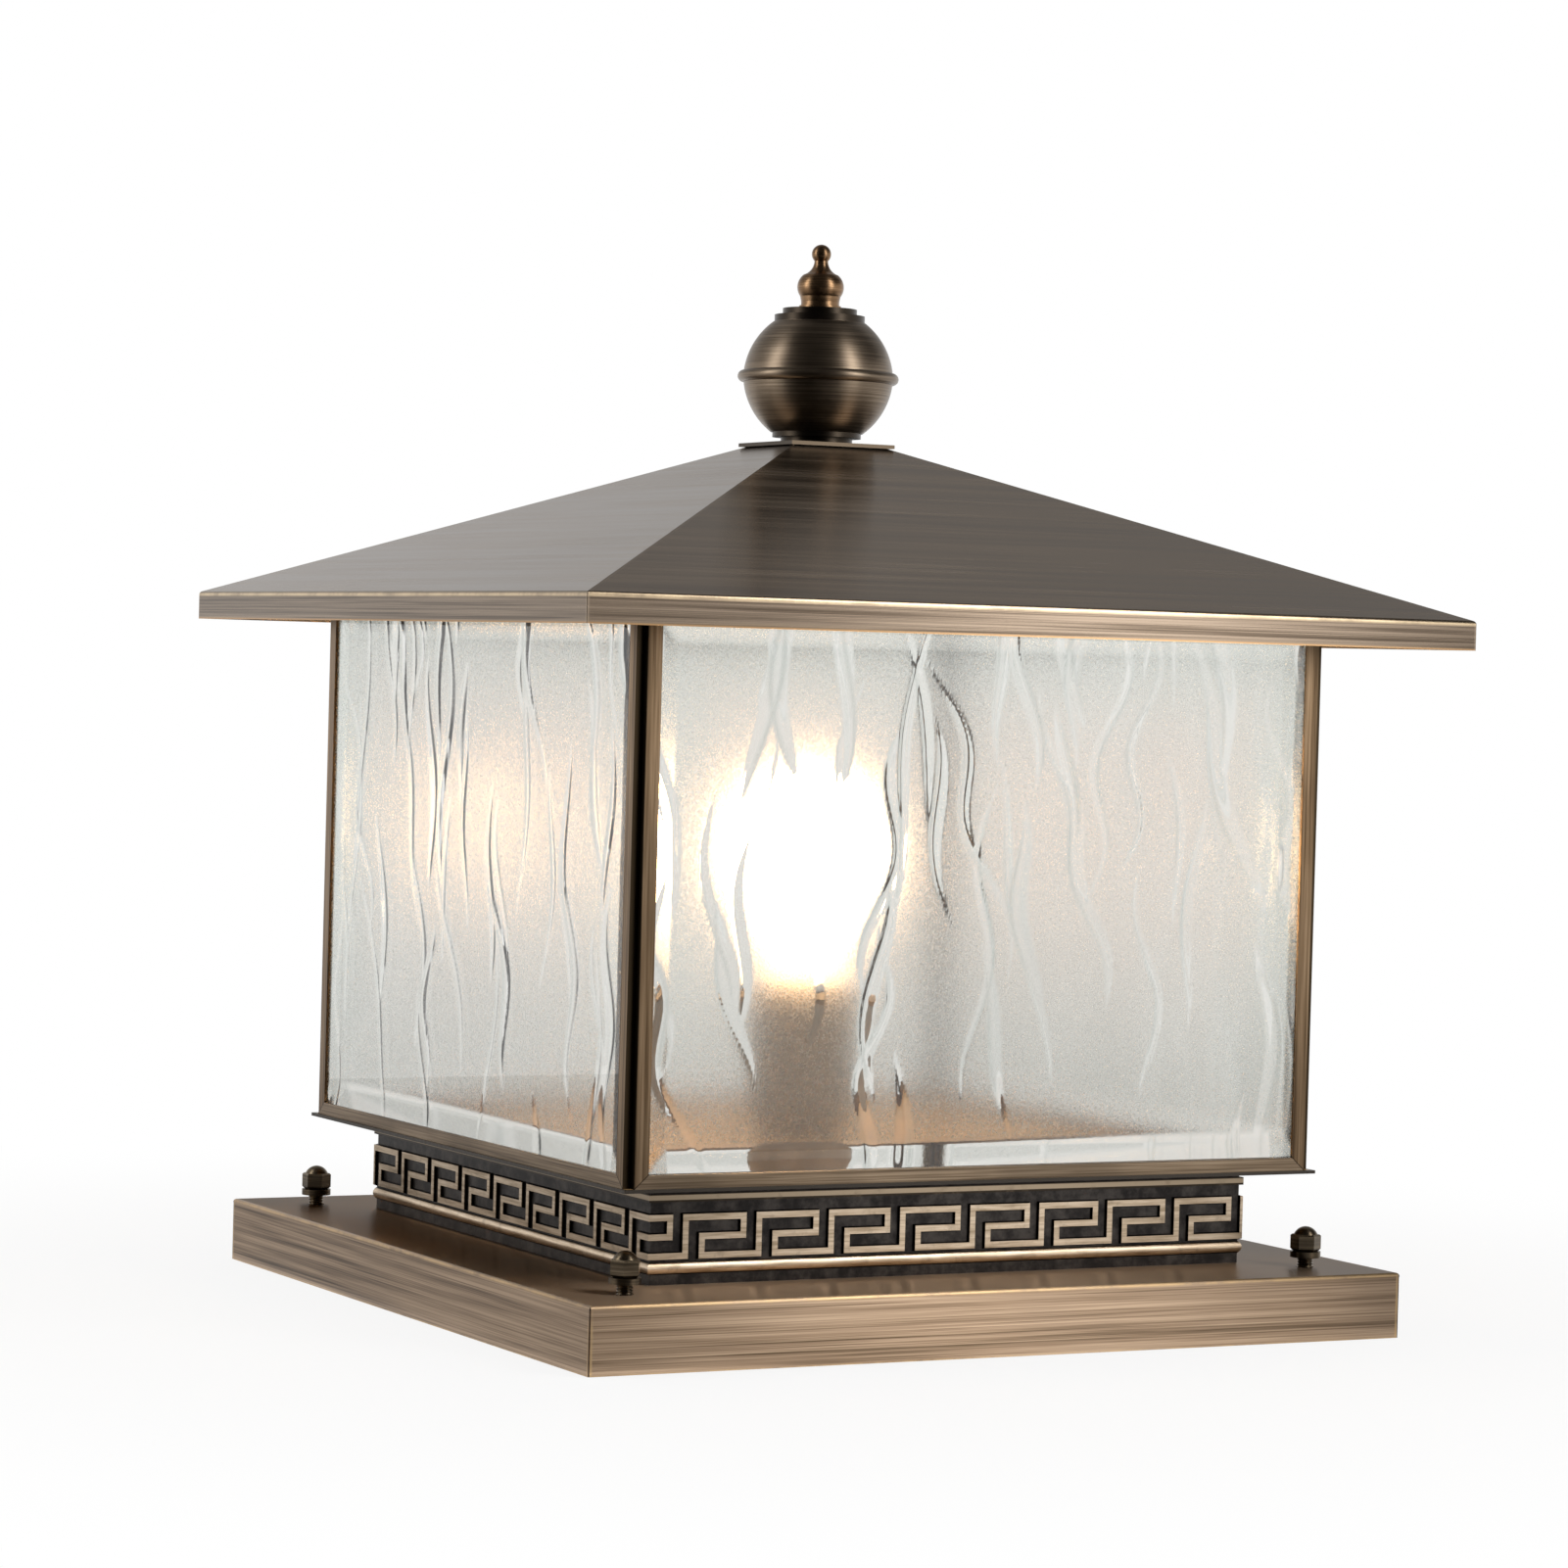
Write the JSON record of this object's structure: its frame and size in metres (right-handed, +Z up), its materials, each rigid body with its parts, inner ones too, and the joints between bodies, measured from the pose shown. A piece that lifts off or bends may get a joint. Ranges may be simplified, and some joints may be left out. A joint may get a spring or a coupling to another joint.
{
  "type": "pillar light",
  "caption": "Square outdoor pillar lantern: textured glass body on a key-patterned plinth and tray, hipped roof with ball finial, lit from inside by a screw-in lamp.",
  "frame": {"origin": "centre of the underside of the base, on the pillar's top", "axes": "+Z up along the lantern's axis; the front faces -Y, and +X is to its right"},
  "size_m": [0.36, 0.36, 0.402],
  "materials": {
    "brass_base": "brushed antique brass",
    "brass_roof": "brushed antique brass",
    "brass_frame": "brushed antique brass",
    "brass_floor": "brushed antique brass",
    "brass_band": "antique brass, blackened in the recesses",
    "bronze_finial": "dark polished bronze",
    "copper_tip": "coppery brass",
    "bronze_nuts": "dark bronze",
    "textured_glass": "rippled frosted glass",
    "zinc_steel": "zinc plated",
    "holder_plastic": "moulded black",
    "holder_ceramic": "glazed white",
    "contact_brass": "bright brass",
    "bulb_metal": "satin",
    "bulb_light": "frosted, lit warm white",
    "terminal_plastic": "moulded"
  },
  "bodies": {
    "lantern": {"base_tray": "brass_base", "corner_post_front_left": "brass_frame", "corner_post_front_right": "brass_frame", "corner_post_back_right": "brass_frame", "corner_post_back_left": "brass_frame", "bottom_rail_front": "brass_frame", "bottom_rail_right": "brass_frame", "bottom_rail_back": "brass_frame", "bottom_rail_left": "brass_frame", "top_rail_front": "brass_frame", "top_rail_right": "brass_frame", "top_rail_back": "brass_frame", "top_rail_left": "brass_frame", "floor_plate": "brass_floor", "key_band_front": "brass_band", "key_band_right": "brass_band", "key_band_back": "brass_band", "key_band_left": "brass_band", "mounting_studs": "bronze_nuts", "glass_pane_front": "textured_glass", "glass_pane_right": "textured_glass", "glass_pane_back": "textured_glass", "glass_pane_left": "textured_glass", "mounting_cross": "zinc_steel", "bridge_bar": "zinc_steel", "bridge_screws": "zinc_steel", "roof_rod": "zinc_steel", "rod_nuts": "zinc_steel", "nipple": "zinc_steel", "nipple_nut": "zinc_steel", "terminal_screw": "zinc_steel", "earth_screw": "zinc_steel", "lampholder_base": "holder_plastic", "lampholder_shell": "holder_plastic", "lampholder_insert": "holder_ceramic", "lampholder_sleeve": "contact_brass", "centre_contact": "contact_brass", "terminal_block": "terminal_plastic"},
    "roof": {"roof_panel_front": "brass_roof", "roof_panel_right": "brass_roof", "roof_panel_back": "brass_roof", "roof_panel_left": "brass_roof", "roof_cap_plate": "brass_roof", "finial_lower": "bronze_finial", "finial_upper": "bronze_finial"},
    "finial": {"finial_tip": "copper_tip"},
    "bulb": {"bulb_cap": "bulb_metal", "bulb_glass": "bulb_light"},
    "nut_front_left_body": {"washer_front_left": "bronze_nuts", "cap_nut_front_left": "bronze_nuts"},
    "nut_front_right_body": {"washer_front_right": "bronze_nuts", "cap_nut_front_right": "bronze_nuts"},
    "nut_back_right_body": {"washer_back_right": "bronze_nuts", "cap_nut_back_right": "bronze_nuts"},
    "nut_back_left_body": {"washer_back_left": "bronze_nuts", "cap_nut_back_left": "bronze_nuts"}
  },
  "joints": [
    {"name": "roof_lift", "type": "slide", "parent": "lantern", "child": "roof", "axis": [0, 0, 1], "range_m": [0, 0.14]},
    {"name": "finial_turn", "type": "hinge", "parent": "roof", "child": "finial", "pos_m": [0, 0, 0.385], "axis": [0, 0, 1], "continuous": true},
    {"name": "bulb_out", "type": "slide", "parent": "lantern", "child": "bulb", "axis": [0, 0, 1], "range_m": [0, 0.03]},
    {"name": "nut_front_left_run", "type": "slide", "parent": "lantern", "child": "nut_front_left_body", "axis": [0, 0, 1], "range_m": [-0.0034, 0.004]},
    {"name": "nut_front_right_run", "type": "slide", "parent": "lantern", "child": "nut_front_right_body", "axis": [0, 0, 1], "range_m": [-0.0034, 0.004]},
    {"name": "nut_back_right_run", "type": "slide", "parent": "lantern", "child": "nut_back_right_body", "axis": [0, 0, 1], "range_m": [-0.0034, 0.004]},
    {"name": "nut_back_left_run", "type": "slide", "parent": "lantern", "child": "nut_back_left_body", "axis": [0, 0, 1], "range_m": [-0.0034, 0.004]}
  ]
}
